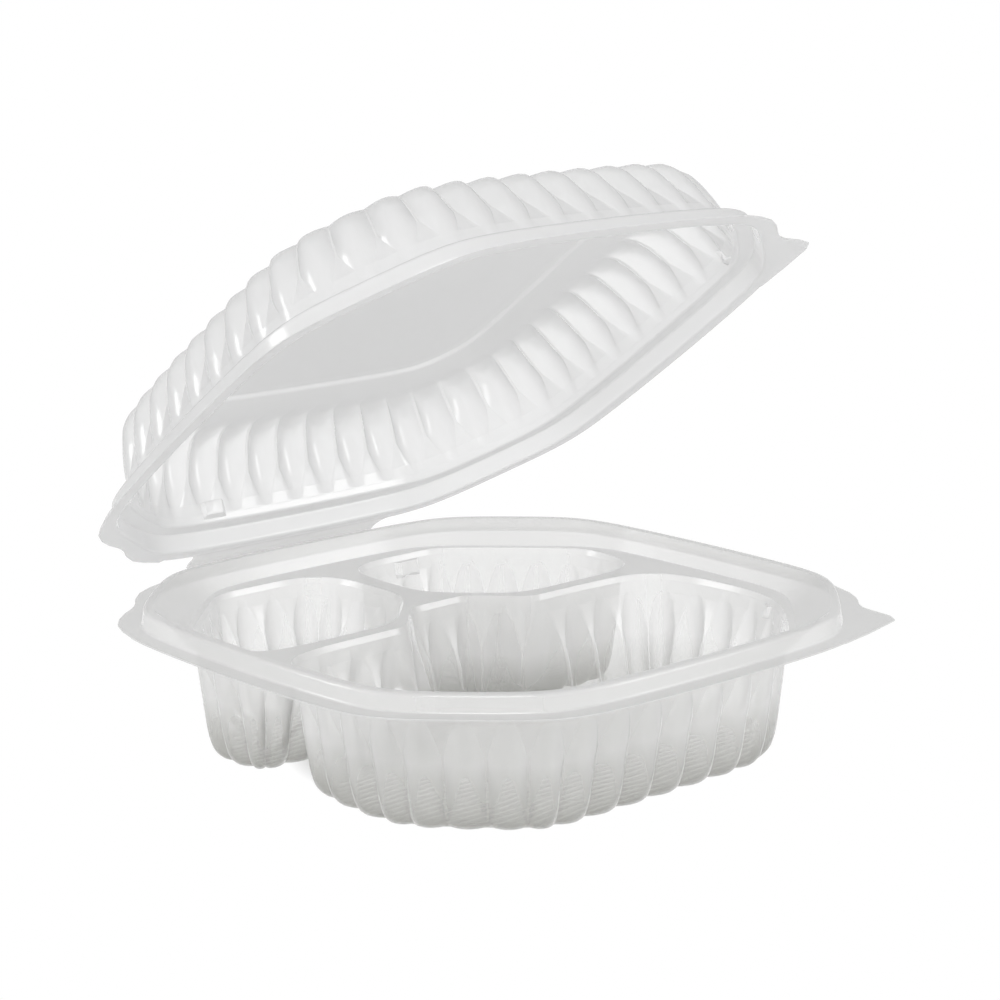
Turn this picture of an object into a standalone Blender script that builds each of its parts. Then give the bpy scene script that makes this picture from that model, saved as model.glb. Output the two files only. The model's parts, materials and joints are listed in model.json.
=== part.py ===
"""Hinged takeaway meal container, three compartments, thermoformed in thin polypropylene.

Metres, +Z up. The container stands on z = 0 with its middle over the origin.
The hinge is at the back, +Y, and the lid stands open as far as its hinge holds it.
Every wall is one bent sheet: a mid-surface of rings, thickened at the end.
"""

import math

import bmesh
import bpy
from mathutils import Vector

MM = 0.001

# Driving sizes.
SIDE = 228.6 * MM
CORNER_CUT = 42 * MM
SIDE_BOW = 8 * MM
CORNER_ROUNDNESS = 24
WALL = 0.8 * MM
TRAY_DEPTH = 47 * MM
RIM_HEIGHT = 5.8 * MM
SHELF_DROP = 2.5 * MM
SHELF_CUT = 56 * MM
LID_WALL_HEIGHT = 30 * MM
LID_HEIGHT = 41.3 * MM
LID_CHANNEL_HEIGHT = 7 * MM
OPEN_ANGLE = math.radians(35.7)

# Hinge strip.
STRIP_WIDTH = 16 * MM
STRIP_HALF_LENGTH = 43.5 * MM
FOLD_GAP = 0.3 * MM

# Flutes: two points each, one on the crest and one in the groove.
RIM_FLUTES = 48
SMALL_FLUTES = 20
LARGE_FLUTES = 36

# Compartments, as seen from above.
SHELF_INSET = 22.5 * MM
DIVIDER = 7 * MM
SMALL_FRONT = 17 * MM
LARGE_BACK = 11.5 * MM
BULGE = 18 * MM
BULGE_HALF_WIDTH = 33 * MM
BULGE_FLANK = 24 * MM
POCKET_CORNER = 102 * MM
POCKET_ROUNDNESS = 14

# Where the flange leaves its plain outline, in millimetres: two lobes with a notch between them at
# the back left, and at the front right an opening tab on each half, beside the other's.
BACK_LOBES = ((-60, 112), (-82.3, 98), (-88.3, 89.9), (-95.6, 84.4), (-110.8, 57))
TRAY_TAB = ((56, -111.6), (72.2, -108.6), (90.6, -104), (94.9, -86.2), (104, -75), (112.2, -54))
LID_TAB = ((54, -112), (71, -106.4), (86.2, -93.6), (109.4, -85), (112.6, -70), (112.3, -54))

HALF = SIDE / 2
FLANGE_Z = TRAY_DEPTH + WALL / 2
FOLD_Y = HALF + STRIP_WIDTH / 2
FOLD_Z = FLANGE_Z + WALL / 2 + FOLD_GAP / 2
LID_LIFT = WALL + FOLD_GAP

# Rings of the tray's rim: inset from the flange edge, height over the flange.
TRAY_RIM = (
    (0, 0),
    (7 * MM, 0),
    (7.8 * MM, RIM_HEIGHT),
    (11 * MM, RIM_HEIGHT),
)
# Rings of a pocket: inset of the flutes' crests, height over the flange, depth of the flutes.
POCKET_WALL = (
    (0, -SHELF_DROP, 0),
    (1.2 * MM, -9 * MM, 0.8 * MM),
    (2.4 * MM, -22 * MM, 3.4 * MM),
    (4.2 * MM, -37 * MM, 4.6 * MM),
    (6 * MM, -43 * MM, 4.2 * MM),
    (10 * MM, -TRAY_DEPTH, 2.4 * MM),
)
# Rings of the lid: inset of the crests, height over its own flange, depth of the flutes.
LID_RINGS = (
    (0, 0, 0),
    (5.6 * MM, 0, 0),
    (6.4 * MM, LID_CHANNEL_HEIGHT, 0),
    (13 * MM, LID_CHANNEL_HEIGHT, 0),
    (16.8 * MM, 24 * MM, 3.8 * MM),
    (19 * MM, LID_WALL_HEIGHT, 4.6 * MM),
    (23 * MM, 34.5 * MM, 4.2 * MM),
    (29 * MM, 36.8 * MM, 2 * MM),
    (36 * MM, 37.6 * MM, 0),
    (46 * MM, 40 * MM, 0),
    (47.5 * MM, LID_HEIGHT, 0),
)


def clear_scene():
    for thing in list(bpy.data.objects):
        bpy.data.objects.remove(thing, do_unlink=True)


def plastic(name, colour):
    material = bpy.data.materials.new(name)
    material.use_nodes = True
    shader = material.node_tree.nodes["Principled BSDF"]
    shader.inputs["Base Color"].default_value = (*colour, 1)
    shader.inputs["Roughness"].default_value = 0.25
    shader.inputs["Metallic"].default_value = 0
    shader.inputs["Alpha"].default_value = 0.45
    return material


def outline_point(angle, sides, roundness):
    """Where a ray from the middle meets an outline. sides are (direction, distance) pairs."""
    total = 0
    for direction, distance in sides:
        reach = math.cos(angle - direction) / distance
        if reach > 0:
            total += reach**roundness
    radius = total ** (-1 / roundness)
    return Vector((radius * math.cos(angle), radius * math.sin(angle)))


def even_points(curve, count, fine=1440):
    """count points along a closed curve, the same length apart."""
    dense = [curve(2 * math.pi * i / fine) for i in range(fine + 1)]
    travelled = [0]
    for a, b in zip(dense, dense[1:]):
        travelled.append(travelled[-1] + (b - a).length)
    points = []
    at = 0
    for i in range(count):
        target = travelled[-1] * i / count
        while travelled[at + 1] < target:
            at += 1
        share = (target - travelled[at]) / (travelled[at + 1] - travelled[at])
        points.append(dense[at].lerp(dense[at + 1], share))
    return points


def rim_points(inset, corner_cut=CORNER_CUT):
    """The container's outline, a square with cut corners and bowed sides, moved in by inset."""
    corner_distance = (2 * HALF - corner_cut) / math.sqrt(2)
    sides = []
    for quarter in range(4):
        sides.append((quarter * math.pi / 2, HALF - inset))
        sides.append((quarter * math.pi / 2 + math.pi / 4, corner_distance - inset))

    def curve(angle):
        x, y = outline_point(angle, sides, CORNER_ROUNDNESS)
        pull_x = SIDE_BOW * (x / HALF) * (y / HALF) ** 2
        pull_y = SIDE_BOW * (y / HALF) * (x / HALF) ** 2
        return Vector((x - pull_x, y - pull_y))

    return even_points(curve, 2 * RIM_FLUTES)


def small_pocket_points(side):
    """Edge of a small pocket. side is -1 for the left one and 1 for the right one."""
    outer = HALF - SHELF_INSET
    middle = Vector((side * (outer + DIVIDER / 2) / 2, (outer + SMALL_FRONT) / 2))
    half_width = (outer - DIVIDER / 2) / 2
    half_depth = (outer - SMALL_FRONT) / 2
    outer_corner = POCKET_CORNER - (abs(middle.x) + middle.y) / math.sqrt(2)
    sides = (
        (0, half_width),
        (math.pi, half_width),
        (math.pi / 2, half_depth),
        (-math.pi / 2, half_depth),
        (math.radians(90 - 45 * side), outer_corner),
        (math.radians(-90 - 45 * side), 0.9 * half_width),
        (math.radians(90 + 45 * side), 1.15 * half_width),
        (math.radians(-90 + 45 * side), 1.15 * half_width),
    )
    curve = lambda angle: middle + outline_point(angle, sides, POCKET_ROUNDNESS)
    return even_points(curve, 2 * SMALL_FLUTES)


def large_pocket_points():
    """Edge of the large pocket, with its bulge between the two small ones."""
    outer = HALF - SHELF_INSET
    middle = Vector((0, (LARGE_BACK - outer) / 2))
    half_depth = (LARGE_BACK + outer) / 2
    front_corner = POCKET_CORNER + middle.y / math.sqrt(2)
    back_corner = 0.93 * (outer + half_depth) / math.sqrt(2)
    sides = (
        (0, outer),
        (math.pi, outer),
        (math.pi / 2, half_depth),
        (-math.pi / 2, half_depth),
        (math.radians(-45), front_corner),
        (math.radians(-135), front_corner),
        (math.radians(45), back_corner),
        (math.radians(135), back_corner),
    )

    def curve(angle):
        point = middle + outline_point(angle, sides, POCKET_ROUNDNESS)
        if point.y > middle.y:
            share = min(max((BULGE_HALF_WIDTH - abs(point.x)) / BULGE_FLANK, 0), 1)
            point.y += BULGE * share * share * (3 - 2 * share)
        return point

    return even_points(curve, 2 * LARGE_FLUTES)


def drawn_to(points, corners):
    """Swaps a stretch of an outline for straight lines through these corners, in millimetres."""
    corners = [Vector(c) * MM for c in corners]
    nearest = lambda end: min(range(len(points)), key=lambda i: (points[i] - end).length)
    first = nearest(corners[0])
    steps = (nearest(corners[-1]) - first) % len(points)
    lengths = [(b - a).length for a, b in zip(corners, corners[1:])]
    drawn = list(points)
    for i in range(1, steps):
        left = sum(lengths) * i / steps
        side = 0
        while left > lengths[side]:
            left -= lengths[side]
            side += 1
        drawn[(first + i) % len(points)] = corners[side].lerp(corners[side + 1], left / lengths[side])
    for corner in corners[1:-1]:
        closest = min(range(len(drawn)), key=lambda i: (drawn[i] - corner).length)
        drawn[closest] = corner
    return drawn


def moved_in(points, inset, flute):
    """The points moved in by inset, and every second one by the depth of a flute more."""
    count = len(points)
    normals = []
    for i in range(count):
        along = points[(i + 1) % count] - points[i - 1]
        normals.append(Vector((along.y, -along.x)).normalized())
    moved = []
    for i, point in enumerate(points):
        normal = (normals[i - 1] + 2 * normals[i] + normals[(i + 1) % count]).normalized()
        groove = flute if i % 2 else 0
        moved.append(point - normal * (inset + groove))
    return moved


def add_ring(mesh, points, z):
    return [mesh.verts.new((p.x, p.y, z)) for p in points]


def join_rings(mesh, first, second):
    count = len(first)
    for i in range(count):
        j = (i + 1) % count
        mesh.faces.new((first[i], first[j], second[j], second[i]))


def ring_edges(mesh, ring):
    """The edges round a ring, made where the mesh has none yet."""
    pairs = zip(ring, ring[1:] + ring[:1])
    return [mesh.edges.get(pair) or mesh.edges.new(pair) for pair in pairs]


def add_strip(mesh, ring, z, fold_y):
    """The half of the living hinge that belongs to this ring's half of the container."""
    back = [v for v in ring if v.co.y > 0 and abs(v.co.x) < STRIP_HALF_LENGTH]
    back.sort(key=lambda v: v.co.x)
    last = [mesh.verts.new((v.co.x, fold_y, z)) for v in back]
    for i in range(len(back) - 1):
        mesh.faces.new((back[i], back[i + 1], last[i + 1], last[i]))


def shape_flange(ring, tab):
    """Gives the flange's edge its lobes and its opening tab."""
    points = [v.co.xy.copy() for v in ring]
    for vertex, point in zip(ring, drawn_to(drawn_to(points, BACK_LOBES), tab)):
        vertex.co.xy = point


def finish_sheet(name, mesh, material):
    """Makes the mesh an object and gives its sheet its thickness."""
    bmesh.ops.recalc_face_normals(mesh, faces=mesh.faces[:])
    data = bpy.data.meshes.new(name)
    mesh.to_mesh(data)
    mesh.free()
    data.materials.append(material)
    sheet = bpy.data.objects.new(name, data)
    bpy.context.collection.objects.link(sheet)
    thickness = sheet.modifiers.new("Wall", "SOLIDIFY")
    thickness.thickness = WALL
    thickness.offset = 0
    thickness.use_even_offset = True
    thickness.use_quality_normals = True
    return sheet


def make_tray(material):
    """Flange, rim, shelf and the three fluted pockets."""
    mesh = bmesh.new()
    rings = [add_ring(mesh, rim_points(inset), FLANGE_Z + z) for inset, z in TRAY_RIM]
    shelf_points = rim_points(14.5 * MM, SHELF_CUT)
    rings.append(add_ring(mesh, shelf_points, FLANGE_Z - SHELF_DROP))
    for outer, inner in zip(rings, rings[1:]):
        join_rings(mesh, outer, inner)
    shape_flange(rings[0], TRAY_TAB)
    add_strip(mesh, rings[0], FLANGE_Z, FOLD_Y - FOLD_GAP / 2)
    shelf = ring_edges(mesh, rings[-1])
    for points in (small_pocket_points(-1), small_pocket_points(1), large_pocket_points()):
        walls = [
            add_ring(mesh, moved_in(points, inset, flute), FLANGE_Z + z)
            for inset, z, flute in POCKET_WALL
        ]
        for upper, lower in zip(walls, walls[1:]):
            join_rings(mesh, upper, lower)
        mesh.faces.new(walls[-1])
        shelf += ring_edges(mesh, walls[0])
    bmesh.ops.triangle_fill(mesh, edges=shelf, use_beauty=True, normal=(0, 0, 1))
    return finish_sheet("tray", mesh, material)


def make_lid(material):
    """Flange, channel, fluted wall, sloping shoulder and raised panel, open on its hinge."""
    mesh = bmesh.new()
    base_z = FLANGE_Z + LID_LIFT
    rings = []
    for inset, z, flute in LID_RINGS:
        points = moved_in(rim_points(inset), 0, flute)
        rings.append(add_ring(mesh, points, base_z + z))
    for outer, inner in zip(rings, rings[1:]):
        join_rings(mesh, outer, inner)
    mesh.faces.new(rings[-1])
    shape_flange(rings[0], LID_TAB)
    add_strip(mesh, rings[0], base_z, FOLD_Y - FOLD_GAP / 2)
    bmesh.ops.translate(mesh, verts=mesh.verts[:], vec=(0, -FOLD_Y, -FOLD_Z))
    lid = finish_sheet("lid", mesh, material)
    lid.location = (0, FOLD_Y, FOLD_Z)
    lid.rotation_euler.x = -OPEN_ANGLE
    return lid


clear_scene()
clear_plastic = plastic("clear_polypropylene", (0.86, 0.87, 0.86))
make_tray(clear_plastic)
make_lid(clear_plastic)
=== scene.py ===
# %% [markdown]
# # A hinged takeaway meal container
#
# The real thing is one sheet of clear polypropylene, warmed and drawn over a mould. Nothing on it
# is thicker than the sheet, so all its stiffness comes from shape: flutes in every wall, a raised
# rim round the tray and a channel round the lid that presses over it.
#
# We load the imported frame first. It holds the two rigid halves, the tray and the lid, and the hinge
# that joins them. The tray and the lid made below take the place of those halves.

# %% Load the frame
import json
import math

import bmesh
import bpy
from mathutils import Matrix, Vector


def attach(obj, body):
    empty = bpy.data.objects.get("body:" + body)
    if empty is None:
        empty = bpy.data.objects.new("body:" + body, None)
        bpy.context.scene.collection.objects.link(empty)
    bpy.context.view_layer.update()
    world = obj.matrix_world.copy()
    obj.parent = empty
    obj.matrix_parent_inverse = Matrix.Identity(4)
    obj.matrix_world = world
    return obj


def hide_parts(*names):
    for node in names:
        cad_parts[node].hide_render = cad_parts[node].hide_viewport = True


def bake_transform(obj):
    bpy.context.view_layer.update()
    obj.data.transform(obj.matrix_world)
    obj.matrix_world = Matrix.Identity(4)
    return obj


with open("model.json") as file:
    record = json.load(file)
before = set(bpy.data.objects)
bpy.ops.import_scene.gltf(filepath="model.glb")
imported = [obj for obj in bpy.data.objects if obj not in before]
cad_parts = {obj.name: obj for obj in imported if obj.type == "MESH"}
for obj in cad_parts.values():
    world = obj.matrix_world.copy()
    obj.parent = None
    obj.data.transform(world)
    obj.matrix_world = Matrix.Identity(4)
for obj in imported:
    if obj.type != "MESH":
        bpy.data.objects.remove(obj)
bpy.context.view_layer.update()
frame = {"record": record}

# %% [markdown]
# ## Sizes
#
# A thermoformed part is drawn from a few outlines and heights. The outline is a square with cut
# corners whose sides bow out a little, which keeps a thin flange from looking limp. All lengths
# are in metres, so a millimetre gets a name of its own.

# %% Sizes of the whole
MM = 0.001
HALF = 114.3 * MM
CORNER_CUT = 42 * MM
SHELF_CUT = 56 * MM
SIDE_BOW = 8 * MM
CORNER_ROUNDNESS = 24
SHEET = 0.5 * MM
SMOOTH_UNDER = math.radians(32)
FLANGE_Z = 47.4 * MM
TRAY_DEPTH = 47 * MM
RIM_HEIGHT = 5.8 * MM
SHELF_DROP = 2.5 * MM
LID_LIFT = 1.1 * MM
FLUTE_RADIUS = 7.8 * MM
POINTS_PER_FLUTE = 14
RIM_FLUTES = 48
SMALL_FLUTES = 20
LARGE_FLUTES = 36

hinge = frame["record"]["behaviour"]["joints"][0]
hinge_at = Vector(hinge["pos_m"])
open_angle = math.radians(-hinge["range_deg"][0])
print("lid open", round(math.degrees(open_angle), 1), "degrees about", tuple(hinge_at))

# %% [markdown]
# ## Outlines
#
# Each outline is a rounded polygon. A ray from the middle meets every side that it faces, and the
# nearest side wins; adding the reaches with a high power instead of taking the nearest one rounds
# the corners by itself. The points are then spread evenly along the curve, because flutes are
# evenly spaced on the real part.

# %% Helper: a rounded polygon
def outline_point(angle, sides, roundness):
    total = 0
    for direction, distance in sides:
        reach = math.cos(angle - direction) / distance
        if reach > 0:
            total += reach**roundness
    radius = total ** (-1 / roundness)
    return Vector((radius * math.cos(angle), radius * math.sin(angle)))


# %% Helper: points the same length apart
def even_points(curve, count, fine=2880):
    dense = [curve(2 * math.pi * i / fine) for i in range(fine + 1)]
    travelled = [0]
    for a, b in zip(dense, dense[1:]):
        travelled.append(travelled[-1] + (b - a).length)
    points = []
    at = 0
    for i in range(count):
        target = travelled[-1] * i / count
        while travelled[at + 1] < target:
            at += 1
        share = (target - travelled[at]) / (travelled[at + 1] - travelled[at])
        points.append(dense[at].lerp(dense[at + 1], share))
    return points


# %% The flange outline, moved in by any amount
def rim_points(inset, corner_cut=CORNER_CUT):
    corner_distance = (2 * HALF - corner_cut) / math.sqrt(2)
    sides = []
    for quarter in range(4):
        sides.append((quarter * math.pi / 2, HALF - inset))
        sides.append((quarter * math.pi / 2 + math.pi / 4, corner_distance - inset))

    def curve(angle):
        x, y = outline_point(angle, sides, CORNER_ROUNDNESS)
        pull_x = SIDE_BOW * (x / HALF) * (y / HALF) ** 2
        pull_y = SIDE_BOW * (y / HALF) * (x / HALF) ** 2
        return Vector((x - pull_x, y - pull_y))

    return even_points(curve, POINTS_PER_FLUTE * RIM_FLUTES)


# %% [markdown]
# The flange's edge is the one outline made with fingers in mind. Each half has two lobes with a
# notch between them at the back left corner. At the front right corner the tray's half has a tab
# beside a lobe, and the lid's half has its own tab beside the tray's, so that a thumb parts them.

# %% The flange's own corners
BACK_LOBES = (
    (-60, 112), (-69, 108.6), (-76, 104.6), (-82.3, 98), (-85.6, 93), (-88.3, 89.9),
    (-91.5, 87.2), (-95.6, 84.4), (-101.5, 79), (-105.8, 73.2), (-108.6, 66), (-110.8, 57),
)
TRAY_TAB = (
    (56, -111.6), (72.2, -108.6), (90.6, -104), (93.4, -99.4), (94.2, -92), (94.9, -86.2),
    (97.2, -82.5), (100.4, -79.4), (103.6, -75.5), (107, -69.6), (109.6, -62), (112.2, -54),
)
LID_TAB = (
    (54, -112), (64, -109.2), (71, -106.4), (77.4, -102), (82, -97.4), (86.2, -93.6),
    (91.5, -91), (102.5, -88), (109.4, -85), (112.2, -80), (112.6, -67), (112.3, -54),
)


def drawn_to(points, corners):
    """Swaps a stretch of an outline for straight lines through these corners, in millimetres."""
    corners = [Vector(c) * MM for c in corners]
    nearest = lambda end: min(range(len(points)), key=lambda i: (points[i] - end).length)
    first = nearest(corners[0])
    steps = (nearest(corners[-1]) - first) % len(points)
    lengths = [(b - a).length for a, b in zip(corners, corners[1:])]
    drawn = list(points)
    for i in range(1, steps):
        left = sum(lengths) * i / steps
        side = 0
        while left > lengths[side]:
            left -= lengths[side]
            side += 1
        spot = corners[side].lerp(corners[side + 1], left / lengths[side])
        drawn[(first + i) % len(points)] = spot
    return drawn


def flange_points(tab):
    return drawn_to(drawn_to(rim_points(0), BACK_LOBES), tab)


print("points round the flange:", len(flange_points(TRAY_TAB)))

# %% [markdown]
# ## Pockets
#
# The tray has one large pocket along the front and two small ones at the hinge. The large one
# bulges back between the small ones, so that the divider's middle is a wide, stiff triangle.

# %% Pocket outlines
SHELF_INSET = 22.5 * MM
DIVIDER = 7 * MM
SMALL_FRONT = 17 * MM
LARGE_BACK = 11.5 * MM
BULGE = 18 * MM
BULGE_HALF_WIDTH = 33 * MM
BULGE_FLANK = 24 * MM
POCKET_CORNER = 102 * MM
POCKET_ROUNDNESS = 14
INNER_CORNER = 0.9
SIDE_CORNER = 1.15
BACK_CORNER = 0.93


def small_pocket_points(side):
    outer = HALF - SHELF_INSET
    middle = Vector((side * (outer + DIVIDER / 2) / 2, (outer + SMALL_FRONT) / 2))
    half_width = (outer - DIVIDER / 2) / 2
    half_depth = (outer - SMALL_FRONT) / 2
    outer_corner = POCKET_CORNER - (abs(middle.x) + middle.y) / math.sqrt(2)
    sides = (
        (0, half_width),
        (math.pi, half_width),
        (math.pi / 2, half_depth),
        (-math.pi / 2, half_depth),
        (math.radians(90 - 45 * side), outer_corner),
        (math.radians(-90 - 45 * side), INNER_CORNER * half_width),
        (math.radians(90 + 45 * side), SIDE_CORNER * half_width),
        (math.radians(-90 + 45 * side), SIDE_CORNER * half_width),
    )
    curve = lambda angle: middle + outline_point(angle, sides, POCKET_ROUNDNESS)
    return even_points(curve, POINTS_PER_FLUTE * SMALL_FLUTES)


def large_pocket_points():
    outer = HALF - SHELF_INSET
    middle = Vector((0, (LARGE_BACK - outer) / 2))
    half_depth = (LARGE_BACK + outer) / 2
    front_corner = POCKET_CORNER + middle.y / math.sqrt(2)
    back_corner = BACK_CORNER * (outer + half_depth) / math.sqrt(2)
    sides = (
        (0, outer),
        (math.pi, outer),
        (math.pi / 2, half_depth),
        (-math.pi / 2, half_depth),
        (math.radians(-45), front_corner),
        (math.radians(-135), front_corner),
        (math.radians(45), back_corner),
        (math.radians(135), back_corner),
    )

    def curve(angle):
        point = middle + outline_point(angle, sides, POCKET_ROUNDNESS)
        if point.y > middle.y:
            share = min(max((BULGE_HALF_WIDTH - abs(point.x)) / BULGE_FLANK, 0), 1)
            point.y += BULGE * share * share * (3 - 2 * share)
        return point

    return even_points(curve, POINTS_PER_FLUTE * LARGE_FLUTES)


pockets = [small_pocket_points(-1), small_pocket_points(1), large_pocket_points()]
print("pockets:", len(pockets))

# %% [markdown]
# ## Profiles
#
# A profile is a list of corners: how far in from the edge, how high, and how deep the flutes are
# there. A warm sheet never takes a sharp corner, so each corner is swapped for a small arc. This
# is where the part gets its soft highlights.

# %% Helper: round every corner of a profile
def rounded_profile(corners, radius, steps=3):
    profile = [corners[0]]
    for before, corner, after in zip(corners, corners[1:], corners[2:]):
        here = Vector(corner[:2])
        back = Vector(before[:2]) - here
        on = Vector(after[:2]) - here
        reach = min(radius, 0.45 * back.length, 0.45 * on.length)
        start = Vector(corner).lerp(Vector(before), reach / back.length)
        end = Vector(corner).lerp(Vector(after), reach / on.length)
        for i in range(steps + 1):
            t = i / steps
            profile.append(start.lerp(Vector(corner), t).lerp(Vector(corner).lerp(end, t), t))
    profile.append(corners[-1])
    return [tuple(p) for p in profile]


# %% [markdown]
# A flute is a rounded channel that stands straight up while the wall between leans in, so it is
# nothing at one end of the wall and deep at the other. As it deepens it widens, until it meets the
# next one in a crease. That is why the ends of flutes are pointed.

# %% Helper: the flutes
POINTS_EACH_SIDE = 5
WIDEST_SHARE = 0.93
NARROWEST_SHARE = 0.4


def smooth_normals(points, reach=6):
    count = len(points)
    normals = []
    for i in range(count):
        along = points[(i + 1) % count] - points[i - 1]
        normals.append(Vector((along.y, -along.x)).normalized())
    smoothed = []
    for i in range(count):
        nearby = [normals[(i + k) % count] for k in range(-reach, reach + 1)]
        smoothed.append(sum(nearby, Vector((0, 0))).normalized())
    return smoothed


def fluted(points, inset, depth):
    """Moves an evenly spaced outline in and swells it out again at each flute.

    Most points crowd over the flute, and the few that are left share the flat beside it.
    """
    count = len(points)
    normals = smooth_normals(points)
    spacing = (points[1] - points[0]).length
    half_pitch = spacing * POINTS_PER_FLUTE / 2
    half_width = min(math.sqrt(2 * FLUTE_RADIUS * depth), WIDEST_SHARE * half_pitch)
    spread = max(half_width, NARROWEST_SHARE * half_pitch)
    half = POINTS_PER_FLUTE // 2
    flat_steps = half - POINTS_EACH_SIDE
    moved = []
    for i in range(count):
        step = (i + half) % POINTS_PER_FLUTE - half
        past = abs(step) - POINTS_EACH_SIDE
        if past <= 0:
            x = spread * math.sin(step * math.pi / (2 * POINTS_EACH_SIDE))
        else:
            x = math.copysign(spread + (half_pitch - spread) * past / flat_steps, step)
        swell = depth * max(1 - (x / half_width) ** 2, 0) if depth > 0 else 0
        at = i - step + x / spacing
        before = math.floor(at)
        point = points[before % count].lerp(points[(before + 1) % count], at - before)
        normal = normals[before % count].lerp(normals[(before + 1) % count], at - before)
        moved.append(point + normal * (swell - depth - inset))
    return moved


# %% [markdown]
# Empty containers are sold nested, and small square lugs under the rim keep them from jamming. A
# lug is a step pushed into the wall, so it only needs a few points of a few rings moved in.

# %% Helper: stacking lugs
LUG_HALF_WIDTH = 4.5 * MM
LUG_DEPTH = 2 * MM
LUG_HEIGHT = 5 * MM
LUG_REACH = 4 * MM


def lugged(points, spots):
    """Steps the wall in at each spot: a point on the wall, in millimetres, and the way in."""
    moved = []
    for point in points:
        for at, inward in spots:
            offset = point - Vector(at) * MM
            inward = Vector(inward)
            beside = abs(offset.cross(inward)) < LUG_HALF_WIDTH
            if beside and abs(offset.dot(inward)) < LUG_REACH:
                point = point + inward * LUG_DEPTH
        moved.append(point)
    return moved


# %% [markdown]
# ## Drawing a wall
#
# A wall starts as a circle primitive, one vertex for each point of its outline. In edit mode the
# open edge is extruded once for each ring of the profile, and each new ring is set on its outline.
# This is how the sheet itself is drawn down into its mould.

# %% Helper: rings by extrusion
def set_ring(ring, points, z, place):
    mesh = bmesh.from_edit_mesh(bpy.context.edit_object.data)
    mesh.verts.ensure_lookup_table()
    for index, point in zip(ring, points):
        mesh.verts[index].co = place @ Vector((point.x, point.y, z))
    bmesh.update_edit_mesh(bpy.context.edit_object.data)


def first_ring(points, z, place):
    """Adds a circle in edit mode and lays it on the outline."""
    bpy.ops.mesh.select_all(action="DESELECT")
    bpy.ops.mesh.primitive_circle_add(vertices=len(points), radius=HALF)
    mesh = bmesh.from_edit_mesh(bpy.context.edit_object.data)
    ring = sorted(v.index for v in mesh.verts if v.select)
    set_ring(ring, points, z, place)
    return ring


def next_ring(ring, points, z, place):
    """Extrudes the selected open edge and lays the new ring on the outline."""
    bpy.ops.mesh.extrude_region_move()
    mesh = bmesh.from_edit_mesh(bpy.context.edit_object.data)
    mesh.verts.index_update()
    above = {}
    for vertex in mesh.verts:
        if vertex.select:
            for edge in vertex.link_edges:
                other = edge.other_vert(vertex)
                if not other.select:
                    above[other.index] = vertex.index
    new_ring = [above[index] for index in ring]
    set_ring(new_ring, points, z, place)
    return new_ring


def select_rings(rings):
    """Selects the edges round these rings and nothing else."""
    bpy.ops.mesh.select_all(action="DESELECT")
    bpy.ops.mesh.select_mode(type="EDGE")
    mesh = bmesh.from_edit_mesh(bpy.context.edit_object.data)
    mesh.verts.ensure_lookup_table()
    for ring in rings:
        for a, b in zip(ring, ring[1:] + ring[:1]):
            mesh.edges.get((mesh.verts[a], mesh.verts[b])).select_set(True)
    bmesh.update_edit_mesh(bpy.context.edit_object.data)


# %% Helper: start and finish a piece
def start_piece(name, points, z, place):
    bpy.ops.object.select_all(action="DESELECT")
    bpy.ops.mesh.primitive_circle_add(vertices=len(points), radius=HALF)
    piece = bpy.context.object
    piece.name = name
    bpy.ops.object.mode_set(mode="EDIT")
    bpy.ops.mesh.select_mode(type="VERT")
    ring = list(range(len(points)))
    set_ring(ring, points, z, place)
    return piece, ring


def finish_piece(piece, material):
    """Turns the faces out, gives the sheet its thickness, smooths it and gives it its plastic."""
    bpy.ops.mesh.select_all(action="SELECT")
    bpy.ops.mesh.normals_make_consistent(inside=False)
    bpy.ops.object.mode_set(mode="OBJECT")
    wall = piece.modifiers.new("Sheet", "SOLIDIFY")
    wall.thickness = SHEET
    wall.offset = 0
    bpy.ops.object.modifier_apply(modifier=wall.name)
    bpy.ops.object.shade_smooth_by_angle(angle=SMOOTH_UNDER)
    piece.data.materials.clear()
    piece.data.materials.append(material)
    print(piece.name, len(piece.data.polygons), "faces")


# %% [markdown]
# ## The plastic
#
# Natural polypropylene is milky, not glassy. Its surface shines, and its body scatters light, most
# of it onwards. So the eye sees a pale grey sheet, yet the sheet casts almost no shadow. A Light
# Path node keeps the two apart: light on its way from a lamp meets a far clearer sheet than the eye
# does. Seen along the wall light crosses more plastic, so a Layer Weight node makes it darker and
# more solid; that darkening is partly the longer crossing and partly painted shade on the flute
# flanks.
# The tray's colour also darkens towards its foot, a painted shade of the dark it stands on, and its
# floor carries fine lines.

# %% Helpers for materials
def srgb(text):
    """A colour written as six hexadecimal digits, turned to linear light."""
    values = [int(text[i : i + 2], 16) / 255 for i in (0, 2, 4)]
    return [v / 12.92 if v <= 0.04045 else ((v + 0.055) / 1.055) ** 2.4 for v in values] + [1]


def add_node(tree, kind, links=(), **settings):
    """Adds a node, sets its properties and sockets by name, and links (socket, output) pairs."""
    node = tree.nodes.new(kind)
    for name, value in settings.items():
        if hasattr(node, name):
            setattr(node, name, value)
        else:
            node.inputs[name.replace("_", " ")].default_value = value
    for socket, output in links:
        tree.links.new(output, node.inputs[socket])
    return node


def mixed(tree, factor, first, second):
    """Mixes two shader nodes. The factor is a number or an output."""
    mix = tree.nodes.new("ShaderNodeMixShader")
    if isinstance(factor, float):
        mix.inputs["Fac"].default_value = factor
    else:
        tree.links.new(factor, mix.inputs["Fac"])
    tree.links.new(first.outputs[0], mix.inputs[1])
    tree.links.new(second.outputs[0], mix.inputs[2])
    return mix


# %% Thermoformed polypropylene
SHADING = 0.03
# DEEPEST and EDGE_ON_COLOUR darken the colour seen along the wall: partly the longer crossing through
# the plastic, partly painted shade on the flute flanks.
DEEPEST = 0.55
EDGE_ON_COLOUR = "7F7F7F"
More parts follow.
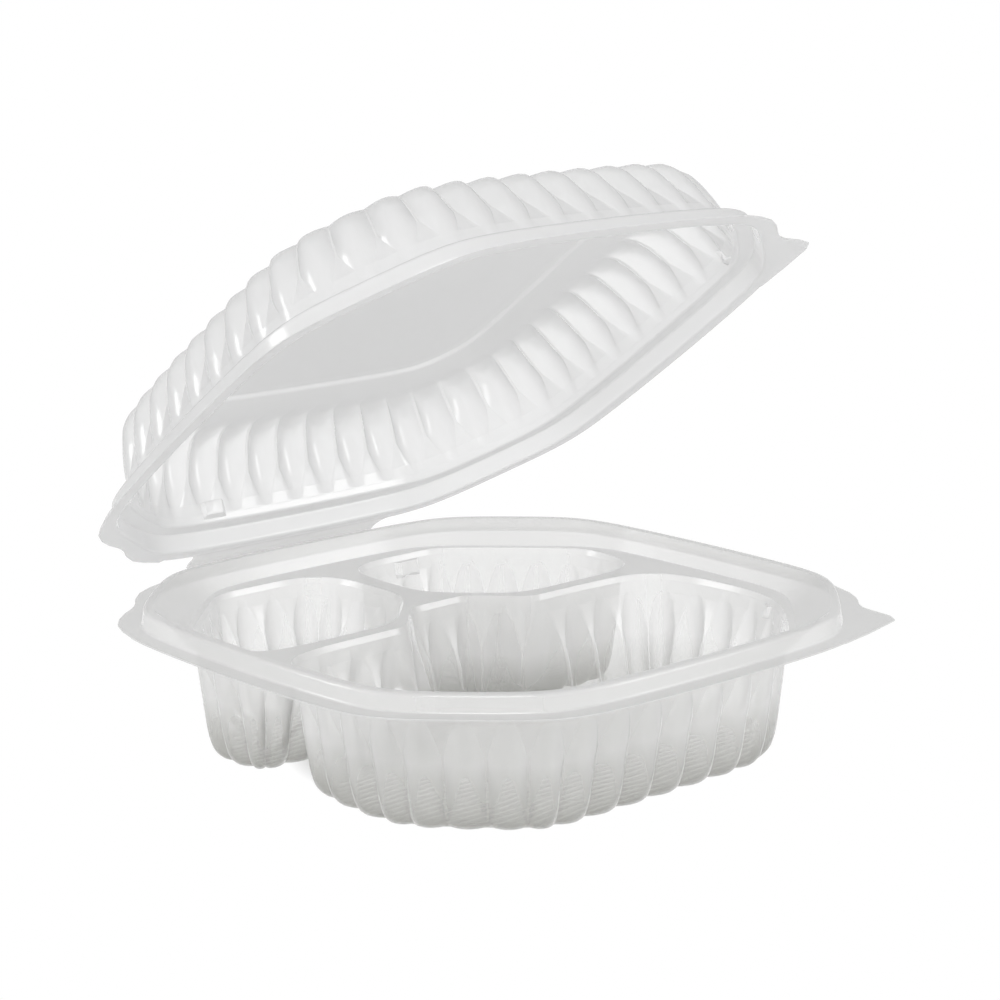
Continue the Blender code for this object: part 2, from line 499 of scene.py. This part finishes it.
# Painted shade: below this height the tray's colour darkens towards its foot colour.
FOOT_SHADE_HEIGHT = 24 * MM
LINE_COLOUR = "DADAD4"
LINE_THRESHOLD = 0.75
LINES_BELOW = 1.2 * MM
LINES_WHOLE = 0.8 * MM


def polypropylene(name, colour, foot_shade_colour, clear, solid):
    """Clear and solid are how much one face hides, seen straight on and along the wall."""
    material = bpy.data.materials.new(name)
    material.use_nodes = True
    tree = material.node_tree
    shader = tree.nodes["Principled BSDF"]
    shader.inputs["IOR"].default_value = 1.49
    shader.inputs["Roughness"].default_value = 0.16
    where = add_node(tree, "ShaderNodeTexCoord")
    height = add_node(tree, "ShaderNodeSeparateXYZ", links=[("Vector", where.outputs["Object"])])
    # Painted shade: nearer the floor the colour darkens to the foot colour.
    rise = add_node(tree, "ShaderNodeMapRange", links=[("Value", height.outputs["Z"])])
    rise.inputs["From Min"].default_value = 0
    rise.inputs["From Max"].default_value = FOOT_SHADE_HEIGHT
    painted_foot_shade = add_node(
        tree, "ShaderNodeMix", links=[("Factor", rise.outputs["Result"])], data_type="RGBA"
    )
    painted_foot_shade.inputs["A"].default_value = srgb(foot_shade_colour)
    painted_foot_shade.inputs["B"].default_value = srgb(colour)
    lines = add_node(
        tree,
        "ShaderNodeTexWave",
        bands_direction="Y",
        links=[("Vector", where.outputs["Object"])],
        Scale=90,
        Distortion=14,
        Detail=2,
        Detail_Scale=0.15,
    )
    thin = add_node(tree, "ShaderNodeMapRange", links=[("Value", lines.outputs["Fac"])])
    thin.inputs["From Min"].default_value = LINE_THRESHOLD
    low = add_node(tree, "ShaderNodeMapRange", links=[("Value", height.outputs["Z"])])
    low.inputs["From Min"].default_value = LINES_BELOW
    low.inputs["From Max"].default_value = LINES_WHOLE
    on_floor = add_node(
        tree,
        "ShaderNodeMath",
        operation="MULTIPLY",
        links=[(0, thin.outputs["Result"]), (1, low.outputs["Result"])],
    )
    drawn = add_node(
        tree,
        "ShaderNodeMix",
        data_type="RGBA",
        links=[("Factor", on_floor.outputs["Value"]), ("A", painted_foot_shade.outputs["Result"])],
    )
    drawn.inputs["B"].default_value = srgb(LINE_COLOUR)
    # Partly painted shade: seen edge-on the colour darkens towards the edge-on grey, partly for the
    # longer crossing through the plastic.
    facing = add_node(tree, "ShaderNodeLayerWeight", Blend=0.35)
    deep = add_node(
        tree, "ShaderNodeMath", operation="MULTIPLY", links=[(0, facing.outputs["Facing"])]
    )
    deep.inputs[1].default_value = DEEPEST
    longer_crossing_and_painted_shade = add_node(
        tree,
        "ShaderNodeMix",
        data_type="RGBA",
        blend_type="MULTIPLY",
        links=[("Factor", deep.outputs["Value"]), ("A", drawn.outputs["Result"])],
    )
    longer_crossing_and_painted_shade.inputs["B"].default_value = srgb(EDGE_ON_COLOUR)
    tree.links.new(longer_crossing_and_painted_shade.outputs["Result"], shader.inputs["Base Color"])
    ripple = add_node(
        tree,
        "ShaderNodeTexNoise",
        links=[("Vector", where.outputs["Object"])],
        Scale=90,
        Detail=3,
    )
    bump = add_node(
        tree,
        "ShaderNodeBump",
        links=[("Height", ripple.outputs["Fac"])],
        Strength=0.1,
        Distance=0.25 * MM,
    )
    tree.links.new(bump.outputs["Normal"], shader.inputs["Normal"])
    alpha = add_node(tree, "ShaderNodeMapRange", links=[("Value", facing.outputs["Facing"])])
    alpha.inputs["To Min"].default_value = clear
    alpha.inputs["To Max"].default_value = solid
    passed = add_node(tree, "ShaderNodeBsdfTransparent")
    seen = mixed(tree, alpha.outputs["Result"], passed, shader)
    shading = mixed(tree, SHADING, passed, shader)
    rays = add_node(tree, "ShaderNodeLightPath")
    sheet = mixed(tree, rays.outputs["Is Camera Ray"], shading, seen)
    tree.links.new(sheet.outputs["Shader"], tree.nodes["Material Output"].inputs["Surface"])
    return material


# The tray's second colour is painted shade at its foot.
tray_plastic = polypropylene("thermoformed_polypropylene_tray", "CECECD", "90908A", 0.36, 0.86)
# The lid's plastic is the tray's, but its colour is set a little lighter: painted light on the lid
# panel.
lid_plastic = polypropylene("thermoformed_polypropylene_lid", "D1D1D1", "D1D1D1", 0.52, 0.88)
print("materials:", tray_plastic.name, lid_plastic.name)

# %% [markdown]
# ## The tray
#
# From the edge inwards: a flat flange, the raised rim, a shelf just under the flange, and three
# pockets that hang from the shelf. The shelf is filled between the rim's foot and the pocket
# edges once all the walls are drawn.

# %% Tray profiles
TRAY_RIM = rounded_profile(
    [
        (0, 0, 0),
        (7 * MM, 0, 0),
        (7.8 * MM, RIM_HEIGHT, 0),
        (11 * MM, RIM_HEIGHT, 0),
    ],
    1.0 * MM,
)
POCKET_WALL = rounded_profile(
    [
        (0, -SHELF_DROP, 0),
        (0.7 * MM, -4.5 * MM, 0),
        (0.75 * MM, -4.9 * MM, 0),
        (1.2 * MM, -8.8 * MM, 0.35 * MM),
        (1.2 * MM, -9.2 * MM, 0.4 * MM),
        (1.4 * MM, -12 * MM, 0.9 * MM),
        (1.8 * MM, -17 * MM, 1.9 * MM),
        (2.5 * MM, -23 * MM, 3.2 * MM),
        (3.3 * MM, -30 * MM, 4.2 * MM),
        (4.2 * MM, -37 * MM, 4.7 * MM),
        (6.0 * MM, -43 * MM, 4.2 * MM),
        (10 * MM, -TRAY_DEPTH, 2.4 * MM),
        (17 * MM, -TRAY_DEPTH, 0),
        (20 * MM, -TRAY_DEPTH, 0),
    ],
    3 * MM,
)

TRAY_LUGS = (((36.5, 91), (0, -1)), ((91, -53), (-1, 0)))
TRAY_LUG_TOP = -4.7 * MM

# %% Draw the tray
flat = Matrix.Identity(4)
tray, ring = start_piece("tray_sheet", flange_points(TRAY_TAB), FLANGE_Z, flat)
for inset, z, depth in TRAY_RIM[1:]:
    ring = next_ring(ring, rim_points(inset), FLANGE_Z + z, flat)
foot = next_ring(ring, rim_points(14.5 * MM, SHELF_CUT), FLANGE_Z - SHELF_DROP, flat)
open_rings = [foot]
for outline in pockets:
    inset, z, depth = POCKET_WALL[0]
    ring = first_ring(fluted(outline, inset, depth), FLANGE_Z + z, flat)
    open_rings.append(ring)
    for inset, z, depth in POCKET_WALL[1:]:
        points = fluted(outline, inset, depth)
        if TRAY_LUG_TOP - LUG_HEIGHT < z < TRAY_LUG_TOP:
            points = lugged(points, TRAY_LUGS)
        ring = next_ring(ring, points, FLANGE_Z + z, flat)
    bpy.ops.mesh.edge_face_add()
select_rings(open_rings)
bpy.ops.mesh.fill(use_beauty=True)
finish_piece(tray, tray_plastic)
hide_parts("tray")
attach(tray, "tray")

# %% [markdown]
# ## The lid
#
# The lid is drawn shut, flange up to panel, and laid open about the hinge as it is drawn. Its
# channel is wide enough to drop over the tray's rim.

# %% Lid profile
LID_RIM = rounded_profile(
    [
        (0, 0, 0),
        (5.6 * MM, 0, 0),
        (6.4 * MM, 7 * MM, 0),
        (13 * MM, 7 * MM, 0),
        (13.4 * MM, 8.5 * MM, 0),
    ],
    1.0 * MM,
)
LID_WALL = rounded_profile(
    [
        (13.4 * MM, 8.5 * MM, 0),
        (13.7 * MM, 9.5 * MM, 0),
        (13.8 * MM, 9.9 * MM, 0.1 * MM),
        (14.3 * MM, 13.8 * MM, 0.6 * MM),
        (14.4 * MM, 14.2 * MM, 0.7 * MM),
        (15.6 * MM, 20 * MM, 2.1 * MM),
        (17.2 * MM, 25.5 * MM, 3.7 * MM),
        (19.2 * MM, 30.5 * MM, 4.7 * MM),
        (23 * MM, 34.6 * MM, 4.4 * MM),
        (29 * MM, 36.8 * MM, 2 * MM),
        (36 * MM, 37.6 * MM, 0),
        (46 * MM, 40 * MM, 0),
        (47 * MM, 41.3 * MM, 0),
        (52 * MM, 41.3 * MM, 0),
    ],
    2 * MM,
)
LID_LUGS = (((-39, 100), (0, -1)), ((100, -62), (-1, 0)))
LID_LUG_TOP = 14 * MM

# %% Draw the lid
laid_open = (
    Matrix.Translation(hinge_at)
    @ Matrix.Rotation(-open_angle, 4, "X")
    @ Matrix.Translation(-hinge_at)
)
lid_z = FLANGE_Z + LID_LIFT
lid, ring = start_piece("lid_sheet", flange_points(LID_TAB), lid_z, laid_open)
for inset, z, depth in LID_RIM[1:] + LID_WALL[1:]:
    points = fluted(rim_points(inset), 0, depth)
    if LID_LUG_TOP - LUG_HEIGHT < z < LID_LUG_TOP:
        points = lugged(points, LID_LUGS)
    ring = next_ring(ring, points, lid_z + z, laid_open)
bpy.ops.mesh.edge_face_add()
finish_piece(lid, lid_plastic)
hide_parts("lid")
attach(lid, "lid")

# %% [markdown]
# ## The living hinge
#
# The two flanges are one sheet at the back. Between them the sheet was pressed thin along a line,
# and there it folds. A flat strip is laid out, folded over the pin line at the lid's open angle, and
# blended from the tray's flange to the lid's.

# %% Draw the hinge strip
STRIP_HALF_LENGTH = 43.5 * MM
STRIP_HALF_WIDTH = hinge_at.y - HALF
STRIP_STEPS = 12
STRIP_COLUMNS = 24
STRIP_OVERLAP = 2.5 * MM
STRIP_FLARE = 6 * MM
FLARE_FROM = 0.6
LIFT_REACH = 3 * MM

bpy.ops.object.select_all(action="DESELECT")
bpy.ops.mesh.primitive_grid_add(
    x_subdivisions=STRIP_COLUMNS, y_subdivisions=2 * STRIP_STEPS, size=2
)
strip = bpy.context.object
strip.name = "living_hinge"
for vertex in strip.data.vertices:
    along, across = vertex.co.x, vertex.co.y
    reach = abs(across) * (STRIP_HALF_WIDTH + STRIP_OVERLAP)
    flare = STRIP_FLARE * max(reach / STRIP_HALF_WIDTH - FLARE_FROM, 0) ** 2
    x = along * (STRIP_HALF_LENGTH + flare)
    angle = 0 if across < 0 else open_angle
    lift = FLANGE_Z - hinge_at.z if across < 0 else lid_z - hinge_at.z
    lift *= min(reach / LIFT_REACH, 1)
    y = -reach * math.cos(angle) + lift * math.sin(angle)
    z = reach * math.sin(angle) + lift * math.cos(angle)
    vertex.co = hinge_at + Vector((x, y, z))
bpy.ops.object.mode_set(mode="EDIT")
finish_piece(strip, tray_plastic)
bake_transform(strip)

# %% [markdown]
# ## Stage, lamps and camera
#
# A white sweep and large soft lamps: clear plastic is best shown against white, where its own
# greys draw its shape.

# %% Stage
SHADED_WITHIN = 50 * MM
LIT_BEYOND = 74 * MM
FLOOR_GAP = 0.3 * MM


def stage_material():
    """White paper that reads as pure white, and darker only where the tray keeps the light off."""
    material = bpy.data.materials.new("white_paper_sweep")
    material.use_nodes = True
    tree = material.node_tree
    shader = tree.nodes["Principled BSDF"]
    shader.inputs["Roughness"].default_value = 1
    shader.inputs["Specular IOR Level"].default_value = 0
    where = add_node(tree, "ShaderNodeTexCoord")
    away = add_node(
        tree, "ShaderNodeVectorMath", links=[(0, where.outputs["Object"])], operation="LENGTH"
    )
    open_to_light = add_node(tree, "ShaderNodeMapRange", links=[("Value", away.outputs["Value"])])
    open_to_light.inputs["From Min"].default_value = SHADED_WITHIN
    open_to_light.inputs["From Max"].default_value = LIT_BEYOND
    paper = add_node(
        tree, "ShaderNodeMix", data_type="RGBA", links=[("Factor", open_to_light.outputs["Result"])]
    )
    # Painted shadow: under the tray the paper is painted dark grey.
    paper.inputs["A"].default_value = srgb("5E5D57")
    paper.inputs["B"].default_value = srgb("FFFFFF")
    tree.links.new(paper.outputs["Result"], shader.inputs["Base Color"])
    lit = add_node(tree, "ShaderNodeEmission", links=[("Color", paper.outputs["Result"])])
    rays = add_node(tree, "ShaderNodeLightPath")
    stage = mixed(tree, rays.outputs["Is Camera Ray"], shader, lit)
    tree.links.new(stage.outputs["Shader"], tree.nodes["Material Output"].inputs["Surface"])
    return material


bpy.ops.object.select_all(action="DESELECT")
bpy.ops.mesh.primitive_plane_add(size=12)
floor = bpy.context.object
floor.name = "floor"
floor.location.z = -FLOOR_GAP
floor.data.materials.append(stage_material())


# %% Lamps
def soft_lamp(name, place, aim, size, power):
    data = bpy.data.lights.new(name, "AREA")
    data.shape = "DISK"
    data.size = size
    data.energy = power
    lamp = bpy.data.objects.new(name, data)
    bpy.context.collection.objects.link(lamp)
    lamp.location = place
    lamp.rotation_euler = (Vector(aim) - Vector(place)).to_track_quat("-Z", "Y").to_euler()
    return lamp


middle = Vector((0, 0, 0.08))
soft_lamp("left_box", (-1.2, 0.9, 0.5), middle, 0.5, 4.5)
soft_lamp("right_box", (0.9, -1.2, 0.5), middle, 0.5, 4)
soft_lamp("top_box", (-0.8, -0.9, 1.3), middle, 0.8, 12)

world = bpy.data.worlds.new("studio")
bpy.context.scene.world = world
world.use_nodes = True
tree = world.node_tree
backdrop = tree.nodes["Background"]
backdrop.inputs["Color"].default_value = (1, 1, 1, 1)
room = add_node(tree, "ShaderNodeBackground", Color=(1, 1, 1, 1), Strength=0.84)
rays = add_node(tree, "ShaderNodeLightPath")
seen = add_node(tree, "ShaderNodeMixShader", links=[("Fac", rays.outputs["Is Camera Ray"])])
tree.links.new(room.outputs["Background"], seen.inputs[1])
tree.links.new(backdrop.outputs["Background"], seen.inputs[2])
tree.links.new(seen.outputs["Shader"], tree.nodes["World Output"].inputs["Surface"])
bpy.context.scene.view_settings.view_transform = "Standard"
bpy.context.scene.cycles.transparent_max_bounces = 32

# %% Camera
VIEW_SIDE = math.radians(-41.47)
VIEW_HEIGHT = math.radians(12.67)
VIEW_ROLL = math.radians(-0.58)
VIEW_DISTANCE = 1048.8 * MM
VIEW_TARGET = Vector((117.7 * MM, 128.7 * MM, FLANGE_Z))

forward = Vector(
    (
        -math.cos(VIEW_HEIGHT) * math.sin(VIEW_SIDE),
        math.cos(VIEW_HEIGHT) * math.cos(VIEW_SIDE),
        -math.sin(VIEW_HEIGHT),
    )
)
level = Vector((math.cos(VIEW_SIDE), math.sin(VIEW_SIDE), 0))
upward = level.cross(forward)
right = level * math.cos(VIEW_ROLL) + upward * math.sin(VIEW_ROLL)
up = right.cross(forward)
turn = Matrix((right, up, -forward)).transposed()
camera = bpy.data.objects.new("camera", bpy.data.cameras.new("camera"))
bpy.context.collection.objects.link(camera)
camera.data.lens = 91.24
camera.data.sensor_width = 36
camera.matrix_world = Matrix.Translation(VIEW_TARGET - forward * VIEW_DISTANCE) @ turn.to_4x4()
bpy.context.scene.camera = camera
